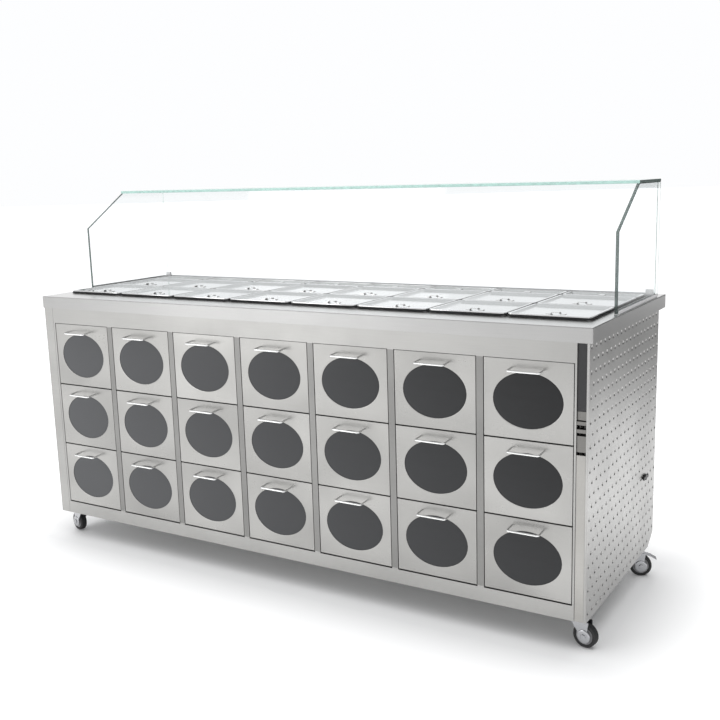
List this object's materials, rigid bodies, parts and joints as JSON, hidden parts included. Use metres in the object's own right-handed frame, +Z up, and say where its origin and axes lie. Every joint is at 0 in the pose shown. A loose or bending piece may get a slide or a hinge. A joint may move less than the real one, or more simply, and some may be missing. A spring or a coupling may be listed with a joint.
{
  "type": "steam table unit",
  "caption": "Wheeled stainless steel serving counter with rows of lidded food pans over a hot-water well, a clear sneeze guard, and columns of drawers with oval windows below.",
  "frame": {"origin": "floor level, under the centre of the object's bounding box", "axes": "+X along the counter to the right as seen from the drawer side, +Y from the drawer side to the back, +Z up"},
  "size_m": [2.2444, 0.827, 1.365],
  "materials": {
    "deck_steel": "satin, brushed along the counter",
    "cabinet_steel": "satin brushed sheet",
    "drawer_steel": "satin brushed sheet",
    "lid_steel": "fine satin, drawn",
    "pan_steel": "bright drawn",
    "bar_steel": "satin",
    "well_steel": "dull",
    "element_steel": "dull, heat tinted",
    "inner_steel": "dull",
    "fitting_steel": "satin",
    "guard_glass": "clear, green at its edges",
    "trim_aluminium": "satin anodised",
    "control_paint": "satin powder coat",
    "knob_plastic": "matt black",
    "handle_plastic": "matt black",
    "pipe_brass": "dull",
    "caster_zinc": "bright zinc plate",
    "caster_tyre": "matt black",
    "screw_steel": "bright",
    "window_dark": "dark tinted, glossy",
    "pull_steel": "polished rod",
    "hub_plastic": "grey moulded",
    "glass_edge": "ground and polished edge",
    "lamp_lens": "translucent amber red"
  },
  "bodies": {
    "cabinet": {"counter_top": "deck_steel", "pan_support_bars": "bar_steel", "water_well": "well_steel", "heating_elements": "element_steel", "guard_end_panels": "guard_glass", "guard_back_panel": "guard_glass", "guard_top_panel": "guard_glass", "guard_channels": "trim_aluminium", "face_frame": "cabinet_steel", "corner_slot_fittings": "fitting_steel", "side_panel_left": "cabinet_steel", "side_panel_right": "cabinet_steel", "back_panel": "cabinet_steel", "floor_panel": "inner_steel", "base_frame": "inner_steel", "divider_panels": "inner_steel", "drawer_rails": "inner_steel", "control_box": "control_paint", "drain_pipe": "pipe_brass", "caster_plates": "caster_zinc", "panel_screws": "screw_steel"},
    "drawer_1_a": {"drawer_1_a": "drawer_steel"},
    "drawer_1_b": {"drawer_1_b": "drawer_steel"},
    "drawer_1_c": {"drawer_1_c": "drawer_steel"},
    "drawer_2_a": {"drawer_2_a": "drawer_steel"},
    "drawer_2_b": {"drawer_2_b": "drawer_steel"},
    "drawer_2_c": {"drawer_2_c": "drawer_steel"},
    "drawer_3_a": {"drawer_3_a": "drawer_steel"},
    "drawer_3_b": {"drawer_3_b": "drawer_steel"},
    "drawer_3_c": {"drawer_3_c": "drawer_steel"},
    "drawer_4_a": {"drawer_4_a": "drawer_steel"},
    "drawer_4_b": {"drawer_4_b": "drawer_steel"},
    "drawer_4_c": {"drawer_4_c": "drawer_steel"},
    "drawer_5_a": {"drawer_5_a": "drawer_steel"},
    "drawer_5_b": {"drawer_5_b": "drawer_steel"},
    "drawer_5_c": {"drawer_5_c": "drawer_steel"},
    "drawer_6_a": {"drawer_6_a": "drawer_steel"},
    "drawer_6_b": {"drawer_6_b": "drawer_steel"},
    "drawer_6_c": {"drawer_6_c": "drawer_steel"},
    "drawer_7_a": {"drawer_7_a": "drawer_steel"},
    "drawer_7_b": {"drawer_7_b": "drawer_steel"},
    "drawer_7_c": {"drawer_7_c": "drawer_steel"},
    "pans_front": {"pans_front_row": "pan_steel"},
    "lids_front": {"lids_front_row": "lid_steel"},
    "pans_middle": {"pans_middle_row": "pan_steel"},
    "lids_middle": {"lids_middle_row": "lid_steel"},
    "pans_back": {"pans_back_row": "pan_steel"},
    "lids_back": {"lids_back_row": "lid_steel"},
    "swivel_front_left": {"caster_fork_front_left": "caster_zinc"},
    "wheel_front_left": {"caster_wheel_front_left": "caster_tyre"},
    "swivel_front_right": {"caster_fork_front_right": "caster_zinc"},
    "wheel_front_right": {"caster_wheel_front_right": "caster_tyre"},
    "swivel_back_left": {"caster_fork_back_left": "caster_zinc"},
    "wheel_back_left": {"caster_wheel_back_left": "caster_tyre"},
    "pedal_back_left": {"brake_pedal_back_left": "caster_zinc"},
    "swivel_back_right": {"caster_fork_back_right": "caster_zinc"},
    "wheel_back_right": {"caster_wheel_back_right": "caster_tyre"},
    "pedal_back_right": {"brake_pedal_back_right": "caster_zinc"},
    "drain_handle": {"drain_handle": "handle_plastic"},
    "thermostat_knob": {"thermostat_knob": "knob_plastic"}
  },
  "joints": [
    {"name": "drawer_1_a_slide", "type": "slide", "parent": "cabinet", "child": "drawer_1_a", "axis": [0, -1, 0], "range_m": [0, 0.43]},
    {"name": "drawer_1_b_slide", "type": "slide", "parent": "cabinet", "child": "drawer_1_b", "axis": [0, -1, 0], "range_m": [0, 0.43]},
    {"name": "drawer_1_c_slide", "type": "slide", "parent": "cabinet", "child": "drawer_1_c", "axis": [0, -1, 0], "range_m": [0, 0.43]},
    {"name": "drawer_2_a_slide", "type": "slide", "parent": "cabinet", "child": "drawer_2_a", "axis": [0, -1, 0], "range_m": [0, 0.43]},
    {"name": "drawer_2_b_slide", "type": "slide", "parent": "cabinet", "child": "drawer_2_b", "axis": [0, -1, 0], "range_m": [0, 0.43]},
    {"name": "drawer_2_c_slide", "type": "slide", "parent": "cabinet", "child": "drawer_2_c", "axis": [0, -1, 0], "range_m": [0, 0.43]},
    {"name": "drawer_3_a_slide", "type": "slide", "parent": "cabinet", "child": "drawer_3_a", "axis": [0, -1, 0], "range_m": [0, 0.43]},
    {"name": "drawer_3_b_slide", "type": "slide", "parent": "cabinet", "child": "drawer_3_b", "axis": [0, -1, 0], "range_m": [0, 0.43]},
    {"name": "drawer_3_c_slide", "type": "slide", "parent": "cabinet", "child": "drawer_3_c", "axis": [0, -1, 0], "range_m": [0, 0.43]},
    {"name": "drawer_4_a_slide", "type": "slide", "parent": "cabinet", "child": "drawer_4_a", "axis": [0, -1, 0], "range_m": [0, 0.43]},
    {"name": "drawer_4_b_slide", "type": "slide", "parent": "cabinet", "child": "drawer_4_b", "axis": [0, -1, 0], "range_m": [0, 0.43]},
    {"name": "drawer_4_c_slide", "type": "slide", "parent": "cabinet", "child": "drawer_4_c", "axis": [0, -1, 0], "range_m": [0, 0.43]},
    {"name": "drawer_5_a_slide", "type": "slide", "parent": "cabinet", "child": "drawer_5_a", "axis": [0, -1, 0], "range_m": [0, 0.43]},
    {"name": "drawer_5_b_slide", "type": "slide", "parent": "cabinet", "child": "drawer_5_b", "axis": [0, -1, 0], "range_m": [0, 0.43]},
    {"name": "drawer_5_c_slide", "type": "slide", "parent": "cabinet", "child": "drawer_5_c", "axis": [0, -1, 0], "range_m": [0, 0.43]},
    {"name": "drawer_6_a_slide", "type": "slide", "parent": "cabinet", "child": "drawer_6_a", "axis": [0, -1, 0], "range_m": [0, 0.43]},
    {"name": "drawer_6_b_slide", "type": "slide", "parent": "cabinet", "child": "drawer_6_b", "axis": [0, -1, 0], "range_m": [0, 0.43]},
    {"name": "drawer_6_c_slide", "type": "slide", "parent": "cabinet", "child": "drawer_6_c", "axis": [0, -1, 0], "range_m": [0, 0.43]},
    {"name": "drawer_7_a_slide", "type": "slide", "parent": "cabinet", "child": "drawer_7_a", "axis": [0, -1, 0], "range_m": [0, 0.43]},
    {"name": "drawer_7_b_slide", "type": "slide", "parent": "cabinet", "child": "drawer_7_b", "axis": [0, -1, 0], "range_m": [0, 0.43]},
    {"name": "drawer_7_c_slide", "type": "slide", "parent": "cabinet", "child": "drawer_7_c", "axis": [0, -1, 0], "range_m": [0, 0.43]},
    {"name": "pans_front_lift", "type": "slide", "parent": "cabinet", "child": "pans_front", "axis": [0, 0, 1], "range_m": [0, 0.09]},
    {"name": "lids_front_lift", "type": "slide", "parent": "pans_front", "child": "lids_front", "axis": [0, 0, 1], "range_m": [0, 0.1]},
    {"name": "pans_middle_lift", "type": "slide", "parent": "cabinet", "child": "pans_middle", "axis": [0, 0, 1], "range_m": [0, 0.09]},
    {"name": "lids_middle_lift", "type": "slide", "parent": "pans_middle", "child": "lids_middle", "axis": [0, 0, 1], "range_m": [0, 0.1]},
    {"name": "pans_back_lift", "type": "slide", "parent": "cabinet", "child": "pans_back", "axis": [0, 0, 1], "range_m": [0, 0.09]},
    {"name": "lids_back_lift", "type": "slide", "parent": "pans_back", "child": "lids_back", "axis": [0, 0, 1], "range_m": [0, 0.1]},
    {"name": "swivel_front_left", "type": "hinge", "parent": "cabinet", "child": "swivel_front_left", "pos_m": [-1.047, -0.3095, 0.09], "axis": [0, 0, 1], "continuous": true},
    {"name": "wheel_front_left", "type": "hinge", "parent": "swivel_front_left", "child": "wheel_front_left", "pos_m": [-1.07405, -0.30225, 0.0375], "axis": [-0.2588, -0.9659, 0], "continuous": true},
    {"name": "swivel_front_right", "type": "hinge", "parent": "cabinet", "child": "swivel_front_right", "pos_m": [1.047, -0.3095, 0.09], "axis": [0, 0, 1], "continuous": true},
    {"name": "wheel_front_right", "type": "hinge", "parent": "swivel_front_right", "child": "wheel_front_right", "pos_m": [1.07458, -0.31436, 0.0375], "axis": [0.1736, 0.9848, 0], "continuous": true},
    {"name": "swivel_back_left", "type": "hinge", "parent": "cabinet", "child": "swivel_back_left", "pos_m": [-1.047, 0.2705, 0.09], "axis": [0, 0, 1], "continuous": true},
    {"name": "wheel_back_left", "type": "hinge", "parent": "swivel_back_left", "child": "wheel_back_left", "pos_m": [-1.06845, 0.2885, 0.0375], "axis": [-0.6428, -0.766, 0], "continuous": true},
    {"name": "pedal_back_left", "type": "hinge", "parent": "swivel_back_left", "child": "pedal_back_left", "pos_m": [-1.07611, 0.29493, 0.079], "axis": [-0.6428, -0.766, 0], "range_deg": [0, 18]},
    {"name": "swivel_back_right", "type": "hinge", "parent": "cabinet", "child": "swivel_back_right", "pos_m": [1.047, 0.2705, 0.09], "axis": [0, 0, 1], "continuous": true},
    {"name": "wheel_back_right", "type": "hinge", "parent": "swivel_back_right", "child": "wheel_back_right", "pos_m": [1.07296, 0.28099, 0.0375], "axis": [-0.3746, 0.9272, 0], "continuous": true},
    {"name": "pedal_back_right", "type": "hinge", "parent": "swivel_back_right", "child": "pedal_back_right", "pos_m": [1.08223, 0.28474, 0.079], "axis": [-0.3746, 0.9272, 0], "range_deg": [0, 18]},
    {"name": "drain_cock_turn", "type": "hinge", "parent": "cabinet", "child": "drain_handle", "pos_m": [1.096, 0.2285, 0.375], "axis": [1, 0, 0], "range_deg": [0, 90]},
    {"name": "thermostat_turn", "type": "hinge", "parent": "cabinet", "child": "thermostat_knob", "pos_m": [-0.79, 0.3935, 0.802], "axis": [0, 1, 0], "range_deg": [0, 270]}
  ]
}
